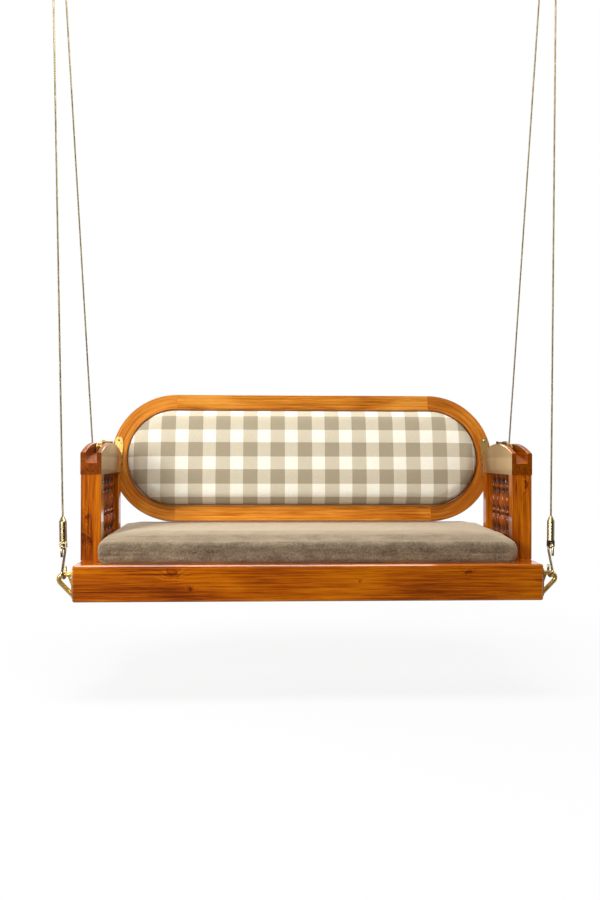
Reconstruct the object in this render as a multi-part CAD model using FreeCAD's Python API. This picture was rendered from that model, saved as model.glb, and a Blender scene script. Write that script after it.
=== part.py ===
"""Hanging bench swing with turned arm spindles and a padded backrest that flips over.

X runs along the bench, Y from front to back, Z up. The origin is on the ceiling,
midway between the two ceiling brackets and straight above the centre of mass.
Bench pieces are drawn round the middle of the rail tops, back pieces round their
pivot, and both are then moved into place. All lengths are millimetres.
"""
import math
import os

import FreeCAD, Part

V = FreeCAD.Vector

# Where the bench hangs
hang_drop = 2340.0
balance_shift = 67.6
ceiling_half_span = 911.0
cut_overrun = 4.0
seat_gap = 0.15

# Repeated bars and spindles are many-sided, so that the model stays light
bar_sides = 8
bend_steps = 6
spindle_sides = 10
turned_sides = 12
corner_steps = 4

# Seat frame
seat_w = 1524.0
seat_d = 620.0
rail_h = 118.0
rail_t = 60.0
rail_round = 7.0
rail_bevel = 4.0
end_rail_w = 70.0
board_t = 18.0
board_gap = 1.0
bearer_w = 45.0
bearer_h = 55.0
bearer_count = 4

# Seat cushion
cushion_side_gap = 3.0
cushion_front_setback = 44.0
cushion_rear_setback = 20.0
cushion_edge_h = 68.0
cushion_crown_h = 22.0
cushion_pull = 13.0
cushion_corner_r = 38.0
cushion_crown_run = 130.0
cushion_lift = 0.3
cushion_side_shares = ((0.0, 1.0), (0.1, 0.38), (0.32, 0.04), (0.58, 0.0), (0.86, 0.24), (1.0, 0.74))
cushion_crown_shares = ((0.0, 0.0), (0.42, 0.16), (0.78, 0.48), (1.0, 1.0))

# Arms
arm_overhang = 2.0
arm_w = 70.0
arm_setback = 122.0
arm_under_h = 288.0
arm_end_h = 74.0
arch_rise = 35.0
channel_w = 39.0
channel_depth = 36.0
channel_bevel = 2.0
post_d = 42.0
post_inset = 1.0
post_bevel = 2.0

# Turned spindles
spindle_count = 5
spindle_max_r = 16.5
spindle_inset = 9.0
spindle_shares = (
    (0.000, 0.60), (0.090, 0.88), (0.200, 0.42), (0.250, 0.84), (0.300, 0.42),
    (0.450, 0.97), (0.490, 0.48), (0.525, 0.88), (0.560, 0.48), (0.650, 1.00),
    (0.790, 0.42), (0.845, 0.84), (0.900, 0.42), (1.000, 0.80),
)

# Backrest frame and pads
recline = 9.0
back_overhang = 3.0
back_seat_gap = 5.4
back_member_w = 58.0
back_t = 40.0
back_bevel = 3.5
back_setback = 72.0
back_board_t = 8.0
back_board_gap = 0.3
pad_gap = 0.4
pad_crown_h = 38.0
pad_crown_run = 118.0
pad_crown_shares = ((0.0, 0.0), (0.42, 0.05), (0.8, 0.3), (1.0, 1.0))

# Flip-over fittings
stop_gap = 0.4
lever_h = 22.0
lever_t = 10.0
lever_side_gap = 0.6
strap_w = 30.0
strap_h = 156.0
strap_t = 4.0
foot_h = 64.0
foot_t = 4.0
clevis_offset = 4.0
clevis_len = 70.0
clevis_base_t = 3.0
clevis_recess = 2.0
clevis_recess_gap = 0.3
ear_t = 5.0
outer_ear_above = 15.0
inner_ear_above = 27.0
ear_bevel = 12.0
pivot_pin_r = 5.0
pivot_head_r = 7.5
pivot_head_t = 2.0
running_gap = 0.05
stud_r = 3.0
stud_setback = 20.0
stud_nut_r = 5.5
stud_nut_t = 6.0
stud_nut_gap = 0.3

# Corner eyes
eye_plate_t = 4.0
eye_plate_w = 50.0
eye_plate_h = 92.0
eye_plate_drop = 14.0
eye_plate_bevel = 6.0
eye_rod_r = 7.5
eye_hook_reach = 33.0
eye_bar_drop = 32.0
eye_turn_r = 15.5
eye_slope = 46.0
eye_leg_r = 3.5
eye_leg_reach = 19.0
eye_leg_drop = 84.0

# S-hooks
hook_wire_r = 4.0
hook_inner_r = 11.0
hook_centres = 76.0
hook_tail = 24.0
hook_twist = 8.0

# Rope and its end fittings
rope_r = 3.0
socket_r = 12.0
socket_len = 65.0
cap_len = 16.0
cap_r = 5.0
tongue_t = 10.0
tongue_len = 14.0
tongue_hole_r = 7.0
tongue_bevel = 7.0
fork_depth = 22.0
fork_base = 8.0
fork_gap = 0.5
fork_cheek_t = 5.5
fork_bevel = 5.0
socket_sides = 6
rope_pin_r = 6.0
rope_pin_head_t = 3.0

# Hanger yokes and ceiling brackets
yoke_t = 10.0
yoke_half = 82.0
yoke_drop = 62.0
yoke_top_r = 24.0
yoke_corner_r = 15.0
bush_r = 17.0
bush_len = 26.0
bush_side_gap = 1.0
ceiling_pin_r = 8.0
ceiling_pin_drop = 56.0
ceiling_pin_head_r = 13.0
ceiling_pin_head_t = 8.0
bracket_plate_t = 8.0
bracket_plate_x = 110.0
bracket_plate_y = 120.0
bracket_plate_bevel = 10.0
bracket_cheek_t = 8.0
bracket_cheek_r = 22.0
bracket_cheek_half = 34.0
bolt_spacing_x = 84.0
bolt_spacing_y = 90.0
bolt_hole_r = 5.5

# Sizes that follow
arm_outer = seat_w / 2 + arm_overhang
arm_inner = arm_outer - arm_w
arm_mid = arm_outer - arm_w / 2
arm_len = seat_d - 2 * arm_setback
cushion_w = 2 * (arm_inner - cushion_side_gap)
cushion_top_z = cushion_lift + cushion_edge_h + cushion_crown_h
arch_r = ((arm_len / 2) ** 2 + arch_rise ** 2) / (2 * arch_rise)
arch_top_z = arm_under_h + arm_end_h + arch_rise
floor_top_z = arch_top_z - channel_depth
floor_centre_z = floor_top_z - arch_r
lever_x = arm_mid + clevis_offset
pivot_z = floor_centre_z + (arch_r + stop_gap + lever_h / 2) / math.cos(math.radians(recline))
back_reach = seat_d / 2 - back_setback
back_drop = (back_reach + back_t / 2) * math.sin(math.radians(recline))
back_outer_r = (pivot_z - cushion_top_z - back_seat_gap - back_drop) / math.cos(math.radians(recline))
back_inner_r = back_outer_r - back_member_w
back_straight_half = lever_x + back_overhang - back_outer_r
pivot_y = -balance_shift
yoke_hole_z = -ceiling_pin_drop - yoke_drop
hook_x = seat_w / 2 + eye_hook_reach
bar_z = -hang_drop - eye_bar_drop
lean = math.degrees(math.atan2(ceiling_half_span - hook_x, -ceiling_pin_drop - bar_z))


def block(x0, x1, y0, y1, z0, z1):
    """Box between two corners."""
    low = V(min(x0, x1), min(y0, y1), min(z0, z1))
    return Part.makeBox(abs(x1 - x0), abs(y1 - y0), abs(z1 - z0), low)


def rod(start, end, radius):
    """Round bar from one point to another."""
    run = end - start
    return Part.makeCylinder(radius, run.Length, start, run)


def mirrored(shape):
    """The same piece for the left side."""
    return shape.mirror(V(0, 0, 0), V(1, 0, 0))


def pair(shape):
    """The right piece with its left twin."""
    return Part.makeCompound([shape, mirrored(shape)])


def edges_along(shape, axis):
    """Straight edges that run along an axis."""
    found = []
    for edge in shape.Edges:
        if isinstance(edge.Curve, Part.Line) and edge.tangentAt(edge.FirstParameter).cross(axis).Length < 1e-6:
            found.append(edge)
    return found


def bench(shape):
    """Moves a piece drawn round the rail tops to its hanging place."""
    return shape.translated(V(0, -balance_shift, -hang_drop))


def on_back(shape):
    """Moves a piece drawn round the pivot to the resting backrest."""
    turned = shape.rotated(V(0, 0, 0), V(1, 0, 0), -recline)
    return turned.translated(V(0, pivot_y, pivot_z - hang_drop))


def extruded(wire, run):
    """Solid that a closed outline makes along a run."""
    return Part.Face(wire).extrude(run)


def rounded_rectangle(half_x, half_y, turn_r, z):
    """Level outline with four round corners."""
    edges = []
    for quarter in range(4):
        sx = (1, -1, -1, 1)[quarter]
        sy = (1, 1, -1, -1)[quarter]
        centre = V(sx * (half_x - turn_r), sy * (half_y - turn_r), z)
        angle = math.radians(90 * quarter)
        arc = []
        for step in (0, 0.5, 1):
            a = angle + step * math.pi / 2
            arc.append(centre + V(math.cos(a), math.sin(a), 0) * turn_r)
        edges.append(arc)
    parts = []
    for i in range(4):
        arc = edges[i]
        after = edges[(i + 1) % 4]
        parts.append(Part.Arc(arc[0], arc[1], arc[2]).toShape())
        parts.append(Part.makeLine(arc[2], after[0]))
    return Part.Wire(parts)


def stadium(radius, y):
    """Outline of the backrest's shape at a distance from the pivot, standing in XZ."""
    parts = []
    for side in (1, -1):
        centre = V(side * back_straight_half, y, 0)
        points = []
        for step in range(5):
            a = side * math.pi / 2 - math.pi / 4 * step
            points.append(centre + V(math.cos(a), 0, math.sin(a)) * radius)
        parts.append(Part.Arc(points[0], points[1], points[2]).toShape())
        parts.append(Part.Arc(points[2], points[3], points[4]).toShape())
        parts.append(Part.makeLine(points[4], V(-points[4].x, y, points[4].z)))
    return Part.Wire(parts)


def belt(circles, plane_x):
    """Outline round circles, given as (y, z, r) in turning order, in a plane across X."""
    tangents = []
    count = len(circles)
    for i in range(count):
        y0, z0, r0 = circles[i]
        y1, z1, r1 = circles[(i + 1) % count]
        run = math.hypot(y1 - y0, z1 - z0)
        heading = math.atan2(z1 - z0, y1 - y0)
        side = heading - math.acos((r0 - r1) / run)
        across = (math.cos(side), math.sin(side))
        tangents.append((V(plane_x, y0 + across[0] * r0, z0 + across[1] * r0),
                         V(plane_x, y1 + across[0] * r1, z1 + across[1] * r1), side))
    points = []
    for i in range(count):
        start, end, side = tangents[i]
        after = tangents[(i + 1) % count]
        y1, z1, r1 = circles[(i + 1) % count]
        turn = (after[2] - side) % (2 * math.pi)
        points += [start, end]
        for step in range(1, corner_steps):
            angle = side + turn * step / corner_steps
            points.append(V(plane_x, y1 + math.cos(angle) * r1, z1 + math.sin(angle) * r1))
    return Part.makePolygon(points + [points[0]])


def flat_ring(centre, heading, normal, radius, sides):
    """Corners of a many-sided outline square to a heading, on a circle."""
    across = heading.cross(normal)
    points = []
    for i in range(sides):
        a = 2 * math.pi * (i + 0.5) / sides
        points.append(centre + (normal * math.cos(a) + across * math.sin(a)) * radius)
    return points


def flat_sided(rings):
    """Solid with flat sides between outlines that have the same number of corners."""
    outlines = [rings[0], rings[-1]]
    for lower, upper in zip(rings, rings[1:]):
        for i in range(len(lower)):
            outlines.append([lower[i - 1], lower[i], upper[i], upper[i - 1]])
    faces = []
    for outline in outlines:
        faces.append(Part.Face(Part.makePolygon(outline + [outline[0]])))
    solid = Part.makeSolid(Part.makeShell(faces))
    if solid.Volume < 0:
        solid.reverse()
    return solid


def bent_bar(stations, normal, radius):
    """Bar through points and headings that lie in one plane."""
    rings = []
    for point, heading in stations:
        rings.append(flat_ring(point, heading, normal, radius, bar_sides))
    return flat_sided(rings)


def turn_stations(centre, first, second, radius, start, end):
    """Points and headings round a bend, its angles measured from one axis to the other."""
    stations = []
    sense = 1 if end > start else -1
    for i in range(bend_steps + 1):
        a = start + (end - start) * i / bend_steps
        point = centre + (first * math.cos(a) + second * math.sin(a)) * radius
        stations.append((point, (second * math.cos(a) - first * math.sin(a)) * sense))
    return stations


def arc_face(half_len, top_z, bottom_z):
    """Side outline of a beam whose top follows the arm's arch."""
    end_z = top_z - arch_r + math.sqrt(arch_r ** 2 - half_len ** 2)
    parts = [
        Part.makeLine(V(0, -half_len, bottom_z), V(0, half_len, bottom_z)),
        Part.makeLine(V(0, half_len, bottom_z), V(0, half_len, end_z)),
        Part.Arc(V(0, half_len, end_z), V(0, 0, top_z), V(0, -half_len, end_z)).toShape(),
        Part.makeLine(V(0, -half_len, end_z), V(0, -half_len, bottom_z)),
    ]
    return Part.Face(Part.Wire(parts))


def long_rail(side):
    """Front or rear rail with round ends and bevelled outlines."""
    y = side * (seat_d / 2 - rail_t / 2)
    rail = block(-seat_w / 2, seat_w / 2, y - rail_t / 2, y + rail_t / 2, -rail_h, 0)
    rail = rail.makeFillet(rail_round, edges_along(rail, V(0, 1, 0)))
    outline = []
    for edge in rail.Edges:
        if abs(edge.CenterOfMass.y - y) > rail_t / 2 - seat_gap:
            outline.append(edge)
    return rail.makeChamfer(rail_bevel, outline)


def end_rail():
    """Rail between the long rails under an arm."""
    half = seat_d / 2 - rail_t
    rail = block(seat_w / 2 - end_rail_w, seat_w / 2, -half, half, -rail_h, 0)
    return rail.makeChamfer(rail_bevel, edges_along(rail, V(0, 1, 0)))


def seat_bearers():
    """Cross bearers that carry the seat board."""
    half = seat_d / 2 - rail_t
    first = -seat_w / 2 + end_rail_w + bearer_w
    pitch = -2 * first / (bearer_count - 1)
    pieces = []
    for i in range(bearer_count):
        x = first + i * pitch
        pieces.append(block(x - bearer_w / 2, x + bearer_w / 2, -half, half, -board_t - bearer_h, -board_t))
    return Part.makeCompound(pieces)


def seat_board():
    """Board that lies flush between the rails."""
    half_x = seat_w / 2 - end_rail_w - board_gap
    half_y = seat_d / 2 - rail_t - board_gap
    return block(-half_x, half_x, -half_y, half_y, -board_t, 0)


def seat_cushion():
    """Cushion with drawn-in sides and a crown."""
    depth = seat_d - cushion_front_setback - cushion_rear_setback
    sides = []
    for height, pull in cushion_side_shares:
        inset = pull * cushion_pull
        sides.append(rounded_rectangle(cushion_w / 2 - inset, depth / 2 - inset, cushion_corner_r,
                                       height * cushion_edge_h))
    rim_inset = cushion_side_shares[-1][1] * cushion_pull
    crown = []
    for height, run in cushion_crown_shares:
        inset = rim_inset + run * cushion_crown_run
        crown.append(rounded_rectangle(cushion_w / 2 - inset, depth / 2 - inset, cushion_corner_r,
                                       cushion_edge_h + height * cushion_crown_h))
    body = Part.makeLoft(sides + crown[1:], True, True)
    shift = (cushion_front_setback - cushion_rear_setback) / 2
    return body.translated(V(0, shift, cushion_lift))


def arm_post(side):
    """Square post under one end of an arm."""
    outer = arm_outer - post_inset
    inner = arm_inner + post_inset
    y = side * (arm_len / 2 - post_inset)
    post = block(inner, outer, y, y - side * post_d, 0, arm_under_h)
    return post.makeChamfer(post_bevel, edges_along(post, V(0, 0, 1)))


def arm_beam():
    """Arched beam with an open channel along its top and a flat seat for the clevis."""
    half = arm_len / 2
    beam = arc_face(half, arch_top_z, arm_under_h).extrude(V(arm_w, 0, 0)).translated(V(arm_inner, 0, 0))
    reach = half + cut_overrun
    fill = arc_face(reach, floor_top_z, arm_under_h - cut_overrun).extrude(V(channel_w, 0, 0))
    tall = block(0, channel_w, -reach, reach, arm_under_h, arch_top_z + cut_overrun)
    channel = tall.cut(fill).translated(V(arm_mid - channel_w / 2, 0, 0))
    beam = beam.cut(channel)
    top_edges = []
    for edge in beam.Edges:
        middle = edge.valueAt((edge.FirstParameter + edge.LastParameter) / 2)
        if abs(middle.z - arch_top_z) < seat_gap and abs(middle.y) < seat_gap and edge.Length > half:
            top_edges.append(edge)
    beam = beam.makeChamfer(channel_bevel, top_edges)
    half_base = clevis_len / 2 + clevis_recess_gap
    seat = block(arm_mid - channel_w / 2, arm_mid + channel_w / 2, -half_base, half_base,
                 floor_top_z - clevis_recess, floor_top_z + cut_overrun)
    return beam.cut(seat)


def spindle():
    """One turned spindle, standing at the origin."""
    rings = []
    for height, radius in spindle_shares:
        rings.append(flat_ring(V(0, 0, height * arm_under_h), V(0, 0, 1), V(0, 1, 0),
                               radius * spindle_max_r, spindle_sides))
    return flat_sided(rings)


def arm_spindles():
    """The row of spindles between the posts of one arm."""
    clear = arm_len - 2 * post_inset - 2 * post_d
    pitch = clear / spindle_count
    pattern = spindle()
    row = []
    for i in range(spindle_count):
        y = -clear / 2 + (i + 0.5) * pitch
        row.append(pattern.translated(V(arm_mid - spindle_inset, y, 0)))
    return Part.makeCompound(row)


def back_rail(side):
    """Straight rail of the backrest frame."""
    z0 = side * back_inner_r
    z1 = side * back_outer_r
    rail = block(-back_straight_half, back_straight_half, back_reach - back_t / 2, back_reach + back_t / 2, z0, z1)
    return rail.makeChamfer(back_bevel, edges_along(rail, V(1, 0, 0)))


def back_end():
    """Half-round end of the backrest frame, the rail's section turned round its centre."""
    section = block(back_straight_half - back_t, back_straight_half, back_reach - back_t / 2,
                    back_reach + back_t / 2, back_inner_r, back_outer_r)
    section = section.makeChamfer(back_bevel, edges_along(section, V(1, 0, 0)))
    end_face = None
    for face in section.Faces:
        if abs(face.CenterOfMass.x - back_straight_half) < seat_gap:
            end_face = face
    return end_face.revolve(V(back_straight_half, 0, 0), V(0, 1, 0), 180)


def back_board():
    """Panel between the two pads."""
    wire = stadium(back_inner_r - back_board_gap, back_reach - back_board_t / 2)
    return extruded(wire, V(0, back_board_t, 0))


def back_pad(side):
    """Crowned pad on one face of the panel."""
    base = back_reach + side * (back_board_t / 2 + pad_gap)
    face = back_reach + side * back_t / 2
    rim_r = back_inner_r - pad_gap
    rings = [stadium(rim_r, base)]
    for height, run in pad_crown_shares:
        rings.append(stadium(rim_r - run * pad_crown_run, face + side * height * pad_crown_h))
    return Part.makeLoft(rings, True, True)


def back_strap():
    """Strap on the frame end with the lever that runs to the pivot."""
    face = back_reach - back_t / 2
    strap_x = back_straight_half + back_outer_r - back_member_w / 2 + post_inset
    end_z = strap_h / 2 - strap_w / 2
    strap = block(strap_x - strap_w / 2, strap_x + strap_w / 2, face - strap_t, face, -end_z, end_z)
    for side in (1, -1):
        strap = strap.fuse(rod(V(strap_x, face - strap_t, side * end_z), V(strap_x, face, side * end_z), strap_w / 2))
    foot = block(strap_x - strap_w / 2, lever_x + lever_t / 2, face - strap_t - foot_t, face - strap_t,
                 -foot_h / 2, foot_h / 2)
    foot = foot.makeChamfer(strap_t, edges_along(foot, V(0, 1, 0)))
    lever = block(lever_x - lever_t / 2, lever_x + lever_t / 2, 0, face - strap_t, -lever_h / 2, lever_h / 2)
    nose = rod(V(lever_x - lever_t / 2, 0, 0), V(lever_x + lever_t / 2, 0, 0), lever_h / 2)
    hole = rod(V(lever_x - lever_t, 0, 0), V(lever_x + lever_t, 0, 0), pivot_pin_r + running_gap)
    return strap.fuse(foot).fuse(lever).fuse(nose).removeSplitter().cut(hole)


def clevis():
    """Clevis in the arm's channel: a base and two ears, the inner one taller."""
    gap = lever_t / 2 + lever_side_gap
    base_z = floor_top_z - clevis_recess
    half = clevis_len / 2
    base = block(lever_x - gap - ear_t, lever_x + gap + ear_t, -half, half, base_z, base_z + clevis_base_t)
    piece = base
    for side, above in ((1, outer_ear_above), (-1, inner_ear_above)):
        x0 = lever_x + side * gap
        ear = block(x0, x0 + side * ear_t, -half, half, base_z, pivot_z + above)
        top = []
        for edge in edges_along(ear, V(1, 0, 0)):
            if edge.valueAt(edge.FirstParameter).z > pivot_z:
                top.append(edge)
        piece = piece.fuse(ear.makeChamfer(ear_bevel, top))
    bore = rod(V(lever_x - arm_w, 0, pivot_z), V(lever_x + arm_w, 0, pivot_z), pivot_pin_r + running_gap)
    stud_z = arch_top_z + stud_r + seat_gap
    socket = rod(V(arm_inner, -stud_setback, stud_z), V(lever_x, -stud_setback, stud_z), stud_r + running_gap)
    return piece.removeSplitter().cut(bore).cut(socket)


def pivot_pin():
    """Headed pin through the clevis and the lever."""
    half = lever_t / 2 + lever_side_gap + ear_t
    start = lever_x - half - pivot_head_t
    end = lever_x + half + running_gap
    pin = rod(V(start, 0, pivot_z), V(end + pivot_head_t, 0, pivot_z), pivot_pin_r)
    return pin.fuse(turned_bar(V(end, 0, pivot_z), V(end + pivot_head_t, 0, pivot_z), pivot_head_r))


def stay_stud():
    """Stud from the clevis's tall ear over the inner cheek, with a round nut."""
    z = arch_top_z + stud_r + seat_gap
    ear_inner = lever_x - lever_t / 2 - lever_side_gap - ear_t / 4
    nut_x = arm_inner - stud_nut_gap
    bar = rod(V(nut_x - stud_nut_t, -stud_setback, z), V(ear_inner, -stud_setback, z), stud_r)
    nut = turned_bar(V(nut_x - stud_nut_t, -stud_setback, z), V(nut_x, -stud_setback, z), stud_nut_r)
    return bar.fuse(nut)


def corner_eye(side):
    """Plate on a rail end with a bar bent into a triangular eye and a thin inner leg."""
    y = side * (seat_d / 2 - rail_t / 2)
    plate_x = seat_w / 2
    plate = block(plate_x, plate_x + eye_plate_t, y - eye_plate_w / 2, y + eye_plate_w / 2,
                  -eye_plate_drop - eye_plate_h, -eye_plate_drop)
    plate = plate.makeChamfer(eye_plate_bevel, edges_along(plate, V(1, 0, 0)))
    centre = V(plate_x + eye_hook_reach, y, -eye_bar_drop - eye_turn_r)
    slope = math.radians(eye_slope)
    out = V(1, 0, 0)
    up = V(0, 0, 1)
    stations = [(V(plate_x, y, -eye_bar_drop), out)]
    stations += turn_stations(centre, out, up, eye_turn_r, math.pi / 2, slope - math.pi / 2)
    low, heading = stations[-1]
    stations.append((low + heading * (low.x - plate_x) / math.cos(slope), heading))
    bar = bent_bar(stations, V(0, 1, 0), eye_rod_r)
    leg_top = V(plate_x + eye_leg_reach, y, -eye_bar_drop)
    leg_foot = V(plate_x, y, -eye_leg_drop)
    heading = V(leg_foot - leg_top).normalize()
    leg = bent_bar([(leg_top, heading), (leg_foot, heading)], V(0, 1, 0), eye_leg_r)
    outside = block(plate_x, plate_x + seat_w, y - eye_plate_w, y + eye_plate_w, -hang_drop, 0)
    return plate.fuse(bar).fuse(leg).common(outside)


def strand_frame(side_x, side_y):
    """Start point, axes and length of a rope line from its corner eye to its yoke hole."""
    tilt = math.radians(lean) * side_x
    up = V(math.sin(tilt), 0, math.cos(tilt))
    start = V(side_x * hook_x, side_y * (seat_d / 2 - rail_t / 2) - balance_shift, bar_z)
    end = V(side_x * ceiling_half_span, 0, -ceiling_pin_drop) - up * yoke_drop + V(0, side_y * yoke_half, 0)
    run = end - start
    heading = V(run).normalize()
    across = V(math.cos(tilt), 0, -math.sin(tilt))
    sideways = heading.cross(across)
    return start, across, sideways, heading, run.Length


def on_strand(shape, side_x, side_y):
    """Moves a piece drawn upright round the eye's bar onto its rope line."""
    start, across, sideways, heading, _ = strand_frame(side_x, side_y)
    matrix = FreeCAD.Matrix(across.x, sideways.x, heading.x, start.x,
                            across.y, sideways.y, heading.y, start.y,
                            across.z, sideways.z, heading.z, start.z,
                            0, 0, 0, 1)
    placed = shape.copy()
    placed.Placement = FreeCAD.Placement(matrix)
    return placed


lower_loop_z = hook_inner_r - eye_rod_r - seat_gap
upper_loop_z = lower_loop_z + hook_centres
hook_line_r = hook_inner_r + hook_wire_r
tongue_hole_z = upper_loop_z + hook_line_r + hook_wire_r - tongue_hole_r + seat_gap
socket_z = tongue_hole_z + tongue_len
rope_z = socket_z + socket_len + cap_len
fork_reach = fork_depth + fork_base + socket_len


def s_hook(side_x, side_y):
    """Wire bent into an S, the upper tail towards the outside of the bench."""
    lean_in = math.asin(2 * hook_line_r / hook_centres)
    out = V(0, side_y, 0)
    up = V(0, 0, 1)
    low = up * lower_loop_z
    high = up * upper_loop_z
    turns = turn_stations(low, out, up, hook_line_r, math.pi, 2 * math.pi + lean_in)
    turns += turn_stations(high, out, up, hook_line_r, math.pi + lean_in, 0)
    tip = turns[0][0] + up * hook_tail
    tail = turns[-1][0] - up * hook_tail
    hook = bent_bar([(tip, -up)] + turns + [(tail, -up)], V(1, 0, 0), hook_wire_r)
    return hook.rotate(V(0, 0, 0), up, side_x * side_y * -hook_twist)


def turned_bar(start, end, radius):
    """Many-sided stand-in for a round bar."""
    heading = V(end - start).normalize()
    normal = V(0, 1, 0)
    rings = [flat_ring(spot, heading, normal, radius, turned_sides) for spot in (start, end)]
    return flat_sided(rings)


def lower_terminal():
    """Rope socket with a tapered cap and a holed tongue for the S-hook."""
    cap_z = socket_z + socket_len
    rings = []
    for z, radius in ((socket_z, socket_r), (cap_z, socket_r), (cap_z + cap_len, cap_r)):
        rings.append(flat_ring(V(0, 0, z), V(0, 0, 1), V(0, 1, 0), radius, turned_sides))
    half = tongue_t / 2
    tongue = block(-socket_r, socket_r, -half, half, tongue_hole_z - socket_r, socket_z)
    tips = []
    for edge in edges_along(tongue, V(0, 1, 0)):
        if edge.valueAt(edge.FirstParameter).z < tongue_hole_z:
            tips.append(edge)
    tongue = tongue.makeChamfer(tongue_bevel, tips)
    hole = rod(V(0, -tongue_t, tongue_hole_z), V(0, tongue_t, tongue_hole_z), tongue_hole_r)
    return flat_sided(rings).fuse(tongue.cut(hole))


def upper_terminal(pin_z):
    """Six-sided socket with a fork that straddles the yoke, and the pin that closes it."""
    gap = yoke_t / 2 + fork_gap
    outer = gap + fork_cheek_t
    neck_z = pin_z - fork_depth - fork_base
    body = []
    for z in (neck_z - socket_len, neck_z):
        body.append(flat_ring(V(0, 0, z), V(0, 0, 1), V(0, 1, 0), socket_r, socket_sides))
    piece = flat_sided(body).fuse(block(-outer, outer, -socket_r, socket_r, neck_z, pin_z - fork_depth))
    for side in (1, -1):
        cheek = block(side * gap, side * outer, -socket_r, socket_r, neck_z, pin_z + socket_r)
        top = []
        for edge in edges_along(cheek, V(1, 0, 0)):
            if edge.valueAt(edge.FirstParameter).z > pin_z:
                top.append(edge)
        piece = piece.fuse(cheek.makeChamfer(fork_bevel, top))
    pin = rod(V(-outer, 0, pin_z), V(outer + rope_pin_head_t, 0, pin_z), rope_pin_r)
    return piece.fuse(pin).removeSplitter()


def yoke():
    """Triangular hanger plate with a bush on the ceiling pin and a hole for each rope."""
    top = V(0, 0, -ceiling_pin_drop)
    circles = [(0, -ceiling_pin_drop, yoke_top_r), (-yoke_half, yoke_hole_z, yoke_corner_r),
               (yoke_half, yoke_hole_z, yoke_corner_r)]
    plate = extruded(belt(circles, -yoke_t / 2), V(yoke_t, 0, 0))
    for side in (1, -1):
        hole_y = side * yoke_half
        hole = rod(V(-yoke_t, hole_y, yoke_hole_z), V(yoke_t, hole_y, yoke_hole_z), rope_pin_r + running_gap)
        plate = plate.cut(hole)
    plate = plate.rotate(top, V(0, 1, 0), lean)
    bush = turned_bar(top - V(bush_len / 2, 0, 0), top + V(bush_len / 2, 0, 0), bush_r)
    bore = rod(top - V(bush_len, 0, 0), top + V(bush_len, 0, 0), ceiling_pin_r + running_gap)
    return plate.fuse(bush).cut(bore).translated(V(ceiling_half_span, 0, 0))


def ceiling_bracket():
    """Ceiling plate with two cheeks for the hanger pin."""
    half_x = bracket_plate_x / 2
    half_y = bracket_plate_y / 2
    plate = block(-half_x, half_x, -half_y, half_y, -bracket_plate_t, 0)
    plate = plate.makeChamfer(bracket_plate_bevel, edges_along(plate, V(0, 0, 1)))
    for sx in (1, -1):
        for sy in (1, -1):
            spot = V(sx * bolt_spacing_x / 2, sy * bolt_spacing_y / 2, 0)
            hole = rod(spot - V(0, 0, bracket_plate_t + cut_overrun), spot + V(0, 0, cut_overrun), bolt_hole_r)
            plate = plate.cut(hole)
    inner = bush_len / 2 + bush_side_gap
    for side in (1, -1):
        corners = [V(0, bracket_cheek_half, -bracket_plate_t)]
        for step in range(corner_steps + 1):
            angle = math.pi * step / corner_steps
            round_z = -ceiling_pin_drop - bracket_cheek_r * math.sin(angle)
            corners.append(V(0, bracket_cheek_r * math.cos(angle), round_z))
        corners.append(V(0, -bracket_cheek_half, -bracket_plate_t))
        outline = Part.makePolygon(corners + [corners[0]])
        cheek = extruded(outline, V(side * bracket_cheek_t, 0, 0)).translated(V(side * inner, 0, 0))
        plate = plate.fuse(cheek)
    bore = rod(V(-half_x, 0, -ceiling_pin_drop), V(half_x, 0, -ceiling_pin_drop), ceiling_pin_r)
    return plate.cut(bore).translated(V(ceiling_half_span, 0, 0))


def ceiling_pin():
    """Headed pin that the yoke swings on."""
    start = bush_len / 2 + bush_side_gap + bracket_cheek_t
    reach = start + ceiling_pin_head_t
    centre = V(ceiling_half_span, 0, -ceiling_pin_drop)
    pin = rod(centre - V(reach, 0, 0), centre + V(reach, 0, 0), ceiling_pin_r)
    return pin.fuse(turned_bar(centre + V(start, 0, 0), centre + V(reach, 0, 0), ceiling_pin_head_r))


parts = {
    "front_rail": bench(long_rail(-1)),
    "rear_rail": bench(long_rail(1)),
    "bearers": bench(seat_bearers()),
    "seat_board": bench(seat_board()),
    "seat_cushion": bench(seat_cushion()),
    "back_top_rail": on_back(back_rail(1)),
    "back_bottom_rail": on_back(back_rail(-1)),
    "back_board": on_back(back_board()),
    "front_pad": on_back(back_pad(-1)),
    "rear_pad": on_back(back_pad(1)),
}
handed = {
    "end_rail": bench(end_rail()),
    "front_post": bench(arm_post(-1)),
    "rear_post": bench(arm_post(1)),
    "arm_beam": bench(arm_beam()),
}
for name, shape in handed.items():
    parts[name + "_right"] = shape
    parts[name + "_left"] = mirrored(shape)

parts["back_ends"] = pair(on_back(back_end()))
parts["spindles"] = pair(bench(arm_spindles()))
parts["clevises"] = pair(bench(clevis()))
parts["pivot_pins"] = pair(bench(pivot_pin()))
parts["stay_studs"] = pair(bench(stay_stud()))
parts["straps"] = pair(on_back(back_strap()))
parts["corner_eyes"] = pair(Part.makeCompound([bench(corner_eye(-1)), bench(corner_eye(1))]))
parts["yokes"] = pair(yoke())
parts["ceiling_brackets"] = pair(ceiling_bracket())
parts["ceiling_pins"] = pair(ceiling_pin())

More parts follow.
